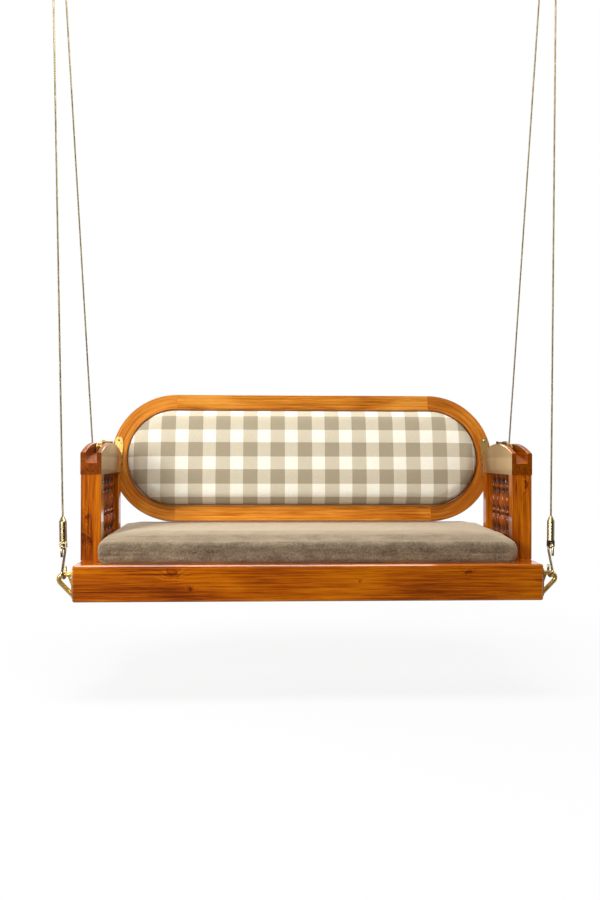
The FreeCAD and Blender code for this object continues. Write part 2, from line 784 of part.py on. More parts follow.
strands = {"s_hooks": [], "lower_terminals": [], "upper_terminals": []}
for side_x, hand in ((1, "right"), (-1, "left")):
    for side_y, place in ((-1, "front"), (1, "rear")):
        length = strand_frame(side_x, side_y)[4]
        rope_len = length - rope_z - fork_reach
        rope = on_strand(rod(V(0, 0, rope_z), V(0, 0, rope_z + rope_len), rope_r), side_x, side_y)
        parts["rope_" + place + "_" + hand] = rope
        strands["s_hooks"].append(on_strand(s_hook(side_x, side_y), side_x, side_y))
        strands["lower_terminals"].append(on_strand(lower_terminal(), side_x, side_y))
        strands["upper_terminals"].append(on_strand(upper_terminal(length), side_x, side_y))
        print("rope", place, hand, "radius", rope_r, "length", round(rope_len, 1),
              "volume share", round(rope.Volume / (math.pi * rope_r ** 2 * rope_len), 4))
for name, shapes in strands.items():
    parts[name] = Part.makeCompound(shapes)

os.makedirs("parts", exist_ok=True)
for name, shape in parts.items():
    shape.exportStep("parts/" + name + ".step")
    if not shape.isValid():
        print("not valid:", name)
print(len(parts), "nodes, pivot", round(pivot_y, 3), round(pivot_z - hang_drop, 3), "lean", round(lean, 3))
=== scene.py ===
import math

import bmesh
import bpy
from mathutils import Matrix, Vector, noise


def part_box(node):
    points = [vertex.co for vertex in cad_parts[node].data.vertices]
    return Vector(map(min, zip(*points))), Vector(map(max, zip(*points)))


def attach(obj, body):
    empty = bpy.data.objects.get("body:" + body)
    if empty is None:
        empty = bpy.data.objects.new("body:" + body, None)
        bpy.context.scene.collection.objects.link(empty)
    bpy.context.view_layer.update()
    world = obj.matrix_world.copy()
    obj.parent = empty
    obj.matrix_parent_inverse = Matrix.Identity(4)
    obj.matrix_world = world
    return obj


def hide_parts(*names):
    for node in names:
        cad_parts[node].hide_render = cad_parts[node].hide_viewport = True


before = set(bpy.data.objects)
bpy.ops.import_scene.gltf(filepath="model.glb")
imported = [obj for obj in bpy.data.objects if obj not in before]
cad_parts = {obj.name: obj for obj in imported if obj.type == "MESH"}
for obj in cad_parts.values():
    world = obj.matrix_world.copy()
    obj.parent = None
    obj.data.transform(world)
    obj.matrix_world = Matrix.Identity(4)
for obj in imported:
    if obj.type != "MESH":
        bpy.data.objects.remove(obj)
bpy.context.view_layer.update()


# The photograph was taken from the front at about the height of the arms, from under
# three metres away and a little left of the middle. The bench fills most of its width.

rail_low, rail_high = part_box("front_rail")
eye_x = -0.146
eye_out = 2.650
eye_up = 0.359
eye_point = Vector((eye_x, rail_low.y - eye_out, rail_high.z + eye_up))
turn, tilt, roll = 0.0418, 0.0045, 0.0023
ahead = Vector((math.sin(turn) * math.cos(tilt), math.cos(turn) * math.cos(tilt), math.sin(tilt)))
level = Vector((math.cos(turn), -math.sin(turn), 0))
right = level * math.cos(roll) + level.cross(ahead) * math.sin(roll)
above = right.cross(ahead)

lens = bpy.data.cameras.new("camera")
lens.sensor_width = 36
lens.lens = 32.87
lens.clip_end = 60
camera = bpy.data.objects.new("camera", lens)
camera.matrix_world = Matrix((
    (right.x, above.x, -ahead.x, eye_point.x),
    (right.y, above.y, -ahead.y, eye_point.y),
    (right.z, above.z, -ahead.z, eye_point.z),
    (0, 0, 0, 1),
))
bpy.context.collection.objects.link(camera)
bpy.context.scene.camera = camera
bpy.context.scene.view_settings.view_transform = "Standard"


# The room: a pale floor 45 cm below the seat and a white surround. Both give the bench
# less light than they show the camera, least where gloss would mirror the camera's side.
# Soft lamps hang above and at the front left, with weaker ones on the right and behind.

def shade(red, green, blue):
    """A colour given as it looks on screen, from 0 to 255."""
    colour = []
    for part in (red, green, blue):
        value = part / 255
        colour.append(value / 12.92 if value <= 0.04045 else ((value + 0.055) / 1.055) ** 2.4)
    return (*colour, 1)


def start_finish(name, colour, roughness, metallic=0):
    """A new material and its shader."""
    finish = bpy.data.materials.new(name)
    finish.use_nodes = True
    shader = finish.node_tree.nodes["Principled BSDF"]
    shader.inputs["Base Color"].default_value = colour
    shader.inputs["Roughness"].default_value = roughness
    shader.inputs["Metallic"].default_value = metallic
    return finish, shader


def add_node(tree, kind, values=None, **settings):
    """A node with its input values by name or number, and its settings."""
    node = tree.nodes.new(kind)
    for name, value in settings.items():
        setattr(node, name, value)
    for name, value in (values or {}).items():
        node.inputs[name].default_value = value
    return node


def map_range(tree, start, end, low=0, high=1):
    """A node that takes values from start to end over to low to high, and holds them there."""
    ends = {"From Min": start, "From Max": end, "To Min": low, "To Max": high}
    return add_node(tree, "ShaderNodeMapRange", ends)


def maths(tree, operation, *values):
    """A sum of one kind, with the plain values that come after its first input."""
    return add_node(tree, "ShaderNodeMath", dict(enumerate(values, 1)), operation=operation)


def feed(tree, *links):
    """Feeds one node's output into another, each link given as (node, output, node, input)."""
    for source, output, target, socket in links:
        tree.links.new(source.outputs[output], target.inputs[socket])


world = bpy.data.worlds.new("surround")
world.use_nodes = True
bpy.context.scene.world = world
surround = world.node_tree
path = add_node(surround, "ShaderNodeLightPath")
seen = maths(surround, "MAXIMUM")
outlook = add_node(surround, "ShaderNodeTexCoord")
heading = add_node(surround, "ShaderNodeSeparateXYZ")
studio = map_range(surround, -0.55, 0.35, 0.05, 1.0)
plain = add_node(surround, "ShaderNodeMix", {2: 0.24}, data_type="FLOAT")
strength = add_node(surround, "ShaderNodeMix", {3: 1.0}, data_type="FLOAT")
feed(surround,
     (path, "Is Camera Ray", seen, 0),
     (path, "Is Transmission Ray", seen, 1),
     (outlook, "Generated", heading, 0),
     (heading, "Y", studio, "Value"),
     (path, "Is Glossy Ray", plain, 0),
     (studio, 0, plain, 3),
     (seen, 0, strength, 0),
     (plain, 0, strength, 2),
     (strength, 0, surround.nodes["Background"], "Strength"))
surround.nodes["Background"].inputs["Color"].default_value = (1, 1, 1, 1)

seat_height = 0.45
floor_reach = 9

bm = bmesh.new()
bmesh.ops.create_grid(bm, x_segments=1, y_segments=1, size=floor_reach)
bmesh.ops.translate(bm, verts=bm.verts, vec=(0, 0, rail_high.z - seat_height))
floor_mesh = bpy.data.meshes.new("floor")
bm.to_mesh(floor_mesh)
bm.free()
floor = bpy.data.objects.new("floor", floor_mesh)
bpy.context.collection.objects.link(floor)

floor_finish, floor_shader = start_finish("pale floor", shade(236, 236, 236), 0.9)
floor_shader.inputs["Specular IOR Level"].default_value = 0
floor_tree = floor_finish.node_tree
path = add_node(floor_tree, "ShaderNodeLightPath")
glow = add_node(floor_tree, "ShaderNodeEmission", {"Color": (1, 1, 1, 1), "Strength": 1.0})
mirrored_glow = add_node(floor_tree, "ShaderNodeEmission", {"Color": (1, 1, 1, 1)})
spot = add_node(floor_tree, "ShaderNodeTexCoord")
spot_parts = add_node(floor_tree, "ShaderNodeSeparateXYZ")
studio = map_range(floor_tree, -1.3, -0.3, 0.05, 0.85)
away = add_node(floor_tree, "ShaderNodeVectorMath", {1: (1, 1, 0)}, operation="MULTIPLY")
reach = add_node(floor_tree, "ShaderNodeVectorMath", operation="LENGTH")
fade = map_range(floor_tree, 0.7, 2.0, 0.86, 1.0)
share = maths(floor_tree, "MULTIPLY")
seen_floor = add_node(floor_tree, "ShaderNodeMixShader")
any_floor = add_node(floor_tree, "ShaderNodeMixShader")
bounce = add_node(floor_tree, "ShaderNodeMix", {6: shade(236, 236, 236), 7: shade(120, 120, 120)},
                  data_type="RGBA")
feed(floor_tree,
     (path, "Is Diffuse Ray", bounce, 0),
     (bounce, 2, floor_shader, "Base Color"),
     (spot, "Object", away, 0),
     (spot, "Object", spot_parts, 0),
     (spot_parts, "Y", studio, "Value"),
     (studio, 0, mirrored_glow, "Strength"),
     (away, 0, reach, 0),
     (reach, "Value", fade, "Value"),
     (path, "Is Camera Ray", share, 0),
     (fade, 0, share, 1),
     (share, 0, seen_floor, 0),
     (floor_shader, 0, seen_floor, 1),
     (glow, 0, seen_floor, 2),
     (path, "Is Glossy Ray", any_floor, 0),
     (seen_floor, 0, any_floor, 1),
     (mirrored_glow, 0, any_floor, 2),
     (any_floor, 0, floor_tree.nodes["Material Output"], "Surface"))
floor_mesh.materials.append(floor_finish)


def hang_lamp(name, spot, aim, width, height, power):
    """A soft rectangular lamp at a spot, turned towards an aim, with its power in watts."""
    data = bpy.data.lights.new(name, "AREA")
    data.shape = "RECTANGLE"
    data.size = width
    data.size_y = height
    data.energy = power
    lamp = bpy.data.objects.new(name, data)
    facing = (aim - spot).to_track_quat("-Z", "Y").to_matrix().to_4x4()
    lamp.matrix_world = Matrix.Translation(spot) @ facing
    bpy.context.collection.objects.link(lamp)


seat_middle = Vector((0, 0, rail_high.z + 0.15))
top_aim = Vector((-0.35, 0, seat_middle.z))
hang_lamp("top lamp", seat_middle + Vector((-0.35, -0.9, 2.7)), top_aim, 2.7, 1.0, 76)
hang_lamp("front lamp", seat_middle + Vector((-2.2, -2.7, 0.8)), seat_middle, 1.2, 1.2, 77)
hang_lamp("right lamp", seat_middle + Vector((2.5, -1.6, 1.0)), seat_middle, 0.7, 0.7, 9)
hang_lamp("back lamp", seat_middle + Vector((-0.4, 2.6, 1.6)), seat_middle, 1.6, 1.6, 42)


# Ceiling brackets and their pins: two plates of satin steel, each held up by four bolts,
# with a headed pin between two cheeks.

def dress(node, *finishes):
    """Gives a CAD node its finish."""
    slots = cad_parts[node].data.materials
    slots.clear()
    for finish in finishes:
        slots.append(finish)


def field(tree, scale, detail, roughness):
    """A node of noise, its scale in cells to the metre."""
    return add_node(tree, "ShaderNodeTexNoise", {"Scale": scale, "Detail": detail, "Roughness": roughness})


def metal_finish(name, colour, edge, roughness, patch=0.06, metallic=1.0):
    """Metal with faint cloudy patches and fine rubbing marks, and painted shade towards its outline, where it
    is seen at a grazing angle.
    """
    finish, shader = start_finish(name, colour, roughness, metallic)
    tree = finish.node_tree
    place = add_node(tree, "ShaderNodeTexCoord")
    clouds = field(tree, 60, 4, 0.6)
    rough = map_range(tree, 0, 1, roughness - patch, roughness + patch)
    marks = field(tree, 900, 2, 0.5)
    bump = add_node(tree, "ShaderNodeBump", {"Strength": 0.08, "Distance": 0.0004})
    facing = add_node(tree, "ShaderNodeLayerWeight", {"Blend": 0.42})
    # Painted shade: the colour turns to the edge colour where the face is seen at a grazing angle.
    tint = add_node(tree, "ShaderNodeMix", {6: colour, 7: edge}, data_type="RGBA")
    feed(tree,
         (place, "Object", clouds, "Vector"),
         (place, "Object", marks, "Vector"),
         (clouds, "Fac", rough, "Value"),
         (rough, 0, shader, "Roughness"),
         (marks, "Fac", bump, "Height"),
         (bump, 0, shader, "Normal"),
         (facing, "Facing", tint, 0),
         (tint, 2, shader, "Base Color"))
    return finish


# The second colour of each metal is its painted shade at grazing angles.
satin_steel = metal_finish("satin steel", shade(190, 187, 181), shade(130, 127, 122), 0.34)
polished_steel = metal_finish("polished steel", shade(200, 179, 134), shade(96, 78, 46), 0.2, 0.05)
dress("ceiling_brackets", satin_steel)
dress("ceiling_pins", polished_steel)


def keep(bm, name, body, finish, smooth=40):
    """Closes a mesh up, makes it a piece with its finish, and lets it ride on a body."""
    bmesh.ops.remove_doubles(bm, verts=bm.verts, dist=0.00001)
    bmesh.ops.recalc_face_normals(bm, faces=bm.faces)
    mesh = bpy.data.meshes.new(name)
    bm.to_mesh(mesh)
    bm.free()
    mesh.shade_smooth()
    mesh.set_sharp_from_angle(angle=math.radians(smooth))
    mesh.materials.append(finish)
    piece = bpy.data.objects.new(name, mesh)
    bpy.context.collection.objects.link(piece)
    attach(piece, body)
    return piece


def join(bm, part):
    """Adds a finished part to a mesh that is being built."""
    shape = bpy.data.meshes.new("part")
    part.to_mesh(shape)
    part.free()
    bm.from_mesh(shape)
    bpy.data.meshes.remove(shape)


def turned(profile, steps, place):
    """A lathe-turned shape from (radius, height) pairs that start and end on the axis."""
    part = bmesh.new()
    points = [part.verts.new((radius, 0, height)) for radius, height in profile]
    edges = [part.edges.new(pair) for pair in zip(points, points[1:])]
    bmesh.ops.spin(part, geom=points + edges, cent=(0, 0, 0), axis=(0, 0, 1), dvec=(0, 0, 0),
                   angle=math.tau, steps=steps, use_merge=True, use_duplicate=False)
    bmesh.ops.remove_doubles(part, verts=part.verts, dist=0.00001)
    bmesh.ops.transform(part, matrix=place, verts=part.verts)
    return part


bolt_edge = 0.013
bolt_out_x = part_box("ceiling_brackets")[1].x - bolt_edge
bolt_pitch_x = 0.084
bolt_y = 0.045
bolt_head_r = 0.0098
bolt_head_h = 0.0066
bolt_head_mid = 0.0049
bolt_rim = 0.0009
plate_under = -0.008
washer = (0, 0), (0.010, 0), (0.010, -0.0016), (0, -0.0016)

bm = bmesh.new()
for side in (1, -1):
    for x in (bolt_out_x, bolt_out_x - bolt_pitch_x):
        for y in (-bolt_y, bolt_y):
            spot = Vector((side * x, y, plate_under))
            join(bm, turned(washer, 24, Matrix.Translation(spot)))
            head = bmesh.new()
            bmesh.ops.create_cone(head, cap_ends=True, segments=6, radius1=bolt_head_r, radius2=bolt_head_r,
                                  depth=bolt_head_h,
                                  matrix=Matrix.Translation(spot - Vector((0, 0, bolt_head_mid))))
            rim = [e for e in head.edges if all(v.co.z < spot.z - bolt_head_mid for v in e.verts)]
            bmesh.ops.bevel(head, geom=rim, offset=bolt_rim, segments=2, profile=0.5, affect="EDGES",
                            material=-1)
            join(bm, head)
keep(bm, "ceiling_bolts", "ceiling", satin_steel)


# Yokes and rope forks: a three-cornered plate of satin steel swings on each ceiling pin,
# and two polished steel forks are pinned to its lower corners.

dress("yokes", satin_steel)
dress("upper_terminals", polished_steel)


# Wire ropes: four taut ropes of twisted strands, six millimetres thick with a warm tint,
# each from its fork down to a terminal beside a corner of the seat.

def rope_ends(side_x, side_y):
    """Lower and upper end of a rope's line, from the box of its CAD rod."""
    low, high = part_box("rope_%s_%s" % ("front" if side_y < 0 else "rear", "right" if side_x > 0 else "left"))
    near_x, far_x = sorted((abs(low.x), abs(high.x)))
    near_y, far_y = sorted((abs(low.y), abs(high.y)))
    foot = Vector((side_x * near_x, side_y * far_y, low.z))
    head = Vector((side_x * far_x, side_y * near_y, high.z))
    inset = Vector((side_x, -side_y, 0)) * rope_r
    return foot + inset, head - inset


rope_r = 0.003
strand_pitch = 0.036
strands = 6
strand_form = 1, 0.93, 0.74, 0.93
steps_per_pitch = 14

rope_finish, shader = start_finish("wire rope", shade(150, 132, 92), 0.4, metallic=1)
tree = rope_finish.node_tree
place = add_node(tree, "ShaderNodeTexCoord")
soil = field(tree, 35, 5, 0.65)
tint = add_node(tree, "ShaderNodeValToRGB")
tint.color_ramp.elements[0].position = 0.3
tint.color_ramp.elements[0].color = shade(112, 94, 58)
tint.color_ramp.elements[1].position = 0.72
tint.color_ramp.elements[1].color = shade(176, 158, 116)
# Painted shade: the rope turns dark brown where it is seen at a grazing angle.
facing = add_node(tree, "ShaderNodeLayerWeight", {"Blend": 0.4})
painted_edge_shade = add_node(tree, "ShaderNodeMix", {7: shade(54, 42, 22)}, data_type="RGBA")
feed(tree,
     (place, "Object", soil, "Vector"),
     (soil, "Fac", tint, "Fac"),
     (facing, "Facing", painted_edge_shade, 0),
     (tint, "Color", painted_edge_shade, 6),
     (painted_edge_shade, 2, shader, "Base Color"))

for side_x in (1, -1):
    for side_y in (-1, 1):
        tag = "%s_%s" % ("front" if side_y < 0 else "rear", "right" if side_x > 0 else "left")
        foot, head = rope_ends(side_x, side_y)
        line = head - foot
        steps = int(line.length / strand_pitch * steps_per_pitch)
        bm = bmesh.new()
        segments = strands * len(strand_form)
        ring = bmesh.ops.create_circle(bm, cap_ends=False, segments=segments, radius=rope_r)["verts"]
        for i, vert in enumerate(ring):
            vert.co = vert.co * strand_form[i % len(strand_form)]
        bmesh.ops.spin(bm, geom=ring + list(bm.edges), cent=(0, 0, 0), axis=(0, 0, 1),
                       dvec=(0, 0, line.length / steps), angle=math.tau * line.length / strand_pitch,
                       steps=steps, use_merge=False, use_duplicate=False)
        bmesh.ops.holes_fill(bm, edges=bm.edges, sides=0)
        upright = line.to_track_quat("Z", "Y").to_matrix().to_4x4()
        bmesh.ops.transform(bm, matrix=Matrix.Translation(foot) @ upright, verts=bm.verts)
        rope = keep(bm, "wire_rope_" + tag, "swing", rope_finish, 80)
        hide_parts("rope_" + tag)


# Rope terminals: a polished steel barrel with a conical cap, and a flat tongue with a
# hole for the hook.

dress("lower_terminals", polished_steel)


# S-hooks: 8 mm steel wire bent cold into an S. The lower turn goes round the brass eye
# and the upper one through the terminal's tongue.

rope_foot_up = 0.1865


def strand_place(side_x, side_y):
    """Places a shape that is drawn upright with the eye's bar at nought on its rope's line."""
    foot, head = rope_ends(side_x, side_y)
    heading = (head - foot).normalized()
    lean = math.atan2(heading.x, heading.z)
    across = Vector((math.cos(lean), 0, -math.sin(lean)))
    sideways = heading.cross(across)
    start = foot - heading * rope_foot_up
    return Matrix((
        (across.x, sideways.x, heading.x, start.x),
        (across.y, sideways.y, heading.y, start.y),
        (across.z, sideways.z, heading.z, start.z),
        (0, 0, 0, 1),
    ))


def bar_start(bm, centre, heading, radius, segments=20):
    """Open ring that a round bar grows from."""
    place = Matrix.Translation(centre) @ heading.to_track_quat("Z", "Y").to_matrix().to_4x4()
    verts = bmesh.ops.create_circle(bm, cap_ends=False, segments=segments, radius=radius,
                                    matrix=place)["verts"]
    edges = {e for v in verts for e in v.link_edges}
    return verts + list(edges)


def bar_on(bm, ring, run):
    """Lengthens a bar straight on."""
    edges = [item for item in ring if isinstance(item, bmesh.types.BMEdge)]
    made = bmesh.ops.extrude_edge_only(bm, edges=edges)["geom"]
    verts = [item for item in made if isinstance(item, bmesh.types.BMVert)]
    bmesh.ops.translate(bm, verts=verts, vec=run)
    rim = {e for v in verts for e in v.link_edges if e.other_vert(v) in verts}
    return verts + list(rim)


def bar_bend(bm, ring, centre, axis, angle, steps):
    """Bends a bar on round a centre."""
    made = bmesh.ops.spin(bm, geom=ring, cent=centre, axis=axis, dvec=(0, 0, 0), angle=angle, steps=steps,
                          use_merge=False, use_duplicate=False)["geom_last"]
    verts = [item for item in made if isinstance(item, bmesh.types.BMVert)]
    rim = {e for v in verts for e in v.link_edges if e.other_vert(v) in verts}
    return verts + list(rim)


hook_wire_r = 0.004
hook_line_r = 0.015
hook_low_z = 0.00335
hook_high_z = 0.07935
hook_tail = 0.024
hook_twist = -8
hook_steps = 20
hook_end_round = 0.0012
hook_lean = math.asin(2 * hook_line_r / (hook_high_z - hook_low_z))
hook_across = (hook_high_z - hook_low_z) * math.cos(hook_lean)

bm = bmesh.new()
for side_x in (1, -1):
    for side_y in (-1, 1):
        hook = bmesh.new()
        out = Vector((0, side_y, 0))
        up = Vector((0, 0, 1))
        low = up * hook_low_z
        high = up * hook_high_z
        axis = out.cross(up)
        ring = bar_start(hook, low - out * hook_line_r + up * hook_tail, -up, hook_wire_r)
        ring = bar_on(hook, ring, -up * hook_tail)
        ring = bar_bend(hook, ring, low, axis, math.pi + hook_lean, hook_steps)
        slant = (-out * math.sin(hook_lean) + up * math.cos(hook_lean)) * hook_across
        ring = bar_on(hook, ring, slant)
        ring = bar_bend(hook, ring, high, axis, -math.pi - hook_lean, hook_steps)
        bar_on(hook, ring, -up * hook_tail)
        ends = bmesh.ops.holes_fill(hook, edges=hook.edges, sides=0)["faces"]
        rims = list({e for f in ends for e in f.edges})
        bmesh.ops.bevel(hook, geom=rims, offset=hook_end_round, segments=3, profile=0.5, affect="EDGES",
                        material=-1)
        twist = Matrix.Rotation(math.radians(side_x * side_y * hook_twist), 4, "Z")
        bmesh.ops.transform(hook, matrix=strand_place(side_x, side_y) @ twist, verts=hook.verts)
        join(bm, hook)
hooks = keep(bm, "steel_s_hooks", "swing", polished_steel, 60)
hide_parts("s_hooks")


# Corner eyes: a brass plate on each end of the long rails, a stout brass bar bent into a
# three-cornered eye, a thin inner leg and four screws.

brass = metal_finish("polished brass", shade(228, 190, 108), shade(150, 110, 42), 0.28, 0.05, 0.75)

screw_r = 0.0046


def screw(bm, centre, outward, radius=screw_r):
    """Domed screw head with a cross recess."""
    place = Matrix.Translation(centre) @ outward.to_track_quat("Z", "Y").to_matrix().to_4x4()
    rim = bmesh.ops.create_circle(bm, cap_ends=False, segments=12, radius=radius, matrix=Matrix.Rotation(
        math.radians(15), 4, "Z"))["verts"]
    long = radius * 0.62
    short = radius * 0.17
    dome = radius * 0.36
    recess = radius * 0.3
    corners = []
    for quarter in range(4):
        spin = Matrix.Rotation(math.radians(90 * quarter), 4, "Z")
        for spot in ((long, -short, 0), (long, short, 0), (short, short, 0)):
            corners.append(bm.verts.new(spin @ Vector(spot)))
    cross = [bm.edges.new((corners[i - 1], corners[i])) for i in range(12)]
    for vert in corners:
        vert.co.z = dome
    edges = list({e for v in rim for e in v.link_edges})
    bmesh.ops.bridge_loops(bm, edges=edges + cross)
    bottom = bmesh.ops.extrude_edge_only(bm, edges=cross)["geom"]
    sunk = [item for item in bottom if isinstance(item, bmesh.types.BMVert)]
    bmesh.ops.translate(bm, verts=sunk, vec=(0, 0, -recess))
    bmesh.ops.contextual_create(bm, geom=sunk)
    bmesh.ops.contextual_create(bm, geom=rim)
    bmesh.ops.transform(bm, matrix=place, verts=rim + corners + sunk)


face_x = rail_high.x
plate_size = 0.004, 0.050, 0.092
plate_drop = 0.060
plate_corner = 0.006
plate_rim = 0.0008
bar_r = 0.0075
bar_drop = 0.032
bar_reach = 0.033
bar_run = 0.032
bar_foot_out = 0.006
bend_r = 0.0155
bend = math.radians(134)
slant_angle = math.radians(46)
leg_r = 0.0035
leg_out = 0.019
leg_drop = 0.083
sunk_in = 0.001
screw_spots = (-0.016, -0.024), (0.016, -0.024), (-0.016, -0.096), (0.016, -0.096)

bm = bmesh.new()
screws = bmesh.new()
for side_x in (1, -1):
    for side_y in (-1, 1):
        low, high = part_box("front_rail" if side_y < 0 else "rear_rail")
        mid_y = (low.y + high.y) / 2
        out = Vector((1, 0, 0))
        eye = bmesh.new()
        bmesh.ops.create_cube(eye, size=1, matrix=Matrix.Translation(
            (face_x + 0.002, mid_y, high.z - plate_drop)) @ Matrix.Diagonal((*plate_size, 1)))
        corners = [e for e in eye.edges if abs(e.verts[0].co.x - e.verts[1].co.x) > 0.001]
        bmesh.ops.bevel(eye, geom=corners, offset=plate_corner, segments=5, profile=0.5, affect="EDGES",
                        material=-1)
        front = [e for e in eye.edges if all(v.co.x > face_x + 0.0039 for v in e.verts)]
        bmesh.ops.bevel(eye, geom=front, offset=plate_rim, segments=2, profile=0.5, affect="EDGES",
                        material=-1)
        top_z = high.z - bar_drop
        centre = Vector((face_x + bar_reach, mid_y, top_z - bend_r))
        ring = bar_start(eye, Vector((face_x + sunk_in, mid_y, top_z)), out, bar_r, 28)
        ring = bar_on(eye, ring, out * bar_run)
        ring = bar_bend(eye, ring, centre, (0, 1, 0), bend, 18)
        slope = Vector((-math.cos(slant_angle), 0, -math.sin(slant_angle)))
        reach = (bar_reach + bend_r * math.sin(slant_angle) - bar_foot_out) / math.cos(slant_angle)
        bar_on(eye, ring, slope * reach)
        leg_top = Vector((face_x + leg_out, mid_y, top_z))
        leg_foot = Vector((face_x + sunk_in, mid_y, high.z - leg_drop))
        leg = bar_start(eye, leg_top, leg_foot - leg_top, leg_r, 16)
        bar_on(eye, leg, leg_foot - leg_top)
        bmesh.ops.holes_fill(eye, edges=eye.edges, sides=0)
        for y, z in screw_spots:
            screw(screws, Vector((side_x * (face_x + plate_size[0]), mid_y + y, high.z + z)), out * side_x)
        if side_x < 0:
            bmesh.ops.scale(eye, vec=(-1, 1, 1), verts=eye.verts)
            bmesh.ops.reverse_faces(eye, faces=eye.faces)
        join(bm, eye)
eyes = keep(bm, "brass_corner_eyes", "swing", brass, 35)
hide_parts("corner_eyes")
keep(screws, "eye_screws", "swing", polished_steel, 30)


# Seat frame: long front and rear rails with the end rails between them, all of teak
# under a thick gloss lacquer. Boards and bearers under the cushion are plain.

def make_teak_grain():
    """Colour, gloss and relief of lacquered teak whose grain runs along X."""
    group = bpy.data.node_groups.new("teak grain", "ShaderNodeTree")
    face = group.interface
    face.new_socket("Place", in_out="INPUT", socket_type="NodeSocketVector")
    face.new_socket("Knots", in_out="INPUT", socket_type="NodeSocketFloat").default_value = 0
    face.new_socket("Figure", in_out="INPUT", socket_type="NodeSocketFloat").default_value = 1
    for name in ("Deep", "Warm", "Pale"):
        face.new_socket(name, in_out="INPUT", socket_type="NodeSocketColor")
    face.new_socket("Colour", in_out="OUTPUT", socket_type="NodeSocketColor")
    face.new_socket("Gloss", in_out="OUTPUT", socket_type="NodeSocketFloat")
    face.new_socket("Relief", in_out="OUTPUT", socket_type="NodeSocketFloat")
    enter = add_node(group, "NodeGroupInput")
    leave = add_node(group, "NodeGroupOutput")

    def stretched(scale, detail, roughness=0.55, distortion=0.0):
        """Noise drawn out along the grain."""
        lay = add_node(group, "ShaderNodeMapping", {"Scale": scale})
        drawn = add_node(group, "ShaderNodeTexNoise", {
            "Scale": 1, "Detail": detail, "Roughness": roughness, "Distortion": distortion})
        feed(group,
             (enter, "Place", lay, "Vector"),
             (lay, 0, drawn, "Vector"))
        return drawn.outputs["Fac"]

    def sum_up(*terms):
        """Sum of (output, factor) pairs, starting from a plain number."""
        total = terms[0]
        for output, factor in terms[1:]:
            step = maths(group, "MULTIPLY_ADD", factor)
            group.links.new(output, step.inputs[0])
            if isinstance(total, (int, float)):
                step.inputs[2].default_value = total
            else:
                group.links.new(total, step.inputs[2])
            total = step.outputs[0]
        return total

    parts = add_node(group, "ShaderNodeSeparateXYZ")
    feed(group, (enter, "Place", parts, 0))
    drift = stretched((0.9, 7, 7), 3, 0.5, 0.4)
    rings = sum_up(0, (parts.outputs["Y"], 360), (parts.outputs["Z"], 420), (drift, 26),
                   (enter.outputs["Knots"], 15))
    swing = maths(group, "SINE")
    group.links.new(rings, swing.inputs[0])
    streaks = stretched((2.6, 170, 170), 5, 0.62)
    threads = stretched((9, 620, 620), 3, 0.5)
    clouds = stretched((2.4, 11, 11), 3, 0.5, 0.6)
    pores = stretched((26, 900, 900), 2, 0.5)

    round_knots = map_range(group, 0.04, 0.5, 0.05, 0.2)
    ring_mark = maths(group, "MULTIPLY")
    feed(group,
         (enter, "Knots", round_knots, "Value"),
         (swing, 0, ring_mark, 0),
         (round_knots, 0, ring_mark, 1))
    dashes = stretched((6, 210, 210), 4, 0.6)
    dash_mask = map_range(group, 0.58, 0.70, 0, -0.46)
    group.links.new(dashes, dash_mask.inputs["Value"])
    tone = sum_up(-2.15, (ring_mark.outputs[0], 1.0), (dash_mask.outputs[0], 1.0), (streaks, 1.4),
                  (threads, 1.5), (clouds, 1.6))
    figure = maths(group, "MULTIPLY")
    group.links.new(tone, figure.inputs[0])
    feed(group, (enter, "Figure", figure, 1))
    core = map_range(group, 0.45, 1.0, 0, -0.55)
    feed(group, (enter, "Knots", core, "Value"))
    level = sum_up(0.5, (figure.outputs[0], 1.0), (core.outputs[0], 1.0))

    lower = map_range(group, 0.0, 0.5)
    upper = map_range(group, 0.5, 1.0)
    dark_half = add_node(group, "ShaderNodeMix", data_type="RGBA")
    light_half = add_node(group, "ShaderNodeMix", data_type="RGBA")
    group.links.new(level, lower.inputs["Value"])
    group.links.new(level, upper.inputs["Value"])
    feed(group,
         (lower, 0, dark_half, 0),
         (enter, "Deep", dark_half, 6),
         (enter, "Warm", dark_half, 7),
         (upper, 0, light_half, 0),
         (dark_half, 2, light_half, 6),
         (enter, "Pale", light_half, 7))

    pore_mask = map_range(group, 0.60, 0.72, 0, 0.4)
    pored = add_node(group, "ShaderNodeMix", data_type="RGBA")
    group.links.new(pores, pore_mask.inputs["Value"])
    feed(group,
         (pore_mask, 0, pored, 0),
         (light_half, 2, pored, 6),
         (enter, "Deep", pored, 7))
    gloss = map_range(group, 0, 1, 0.3, 0.46)
    group.links.new(streaks, gloss.inputs["Value"])
    feed(group,
         (pored, 2, leave, "Colour"),
         (gloss, 0, leave, "Gloss"))
    group.links.new(streaks, leave.inputs["Relief"])
    return group


teak_grain = make_teak_grain()
along_y = (0, 0, math.radians(90))
along_z = (0, math.radians(90), 0)
grain_axes = {(0, 0, 0): (1, 0, 0), along_y: (0, 1, 0), along_z: (0, 0, 1)}
teak_colours = shade(96, 34, 0), shade(169, 78, 0), shade(209, 116, 1)


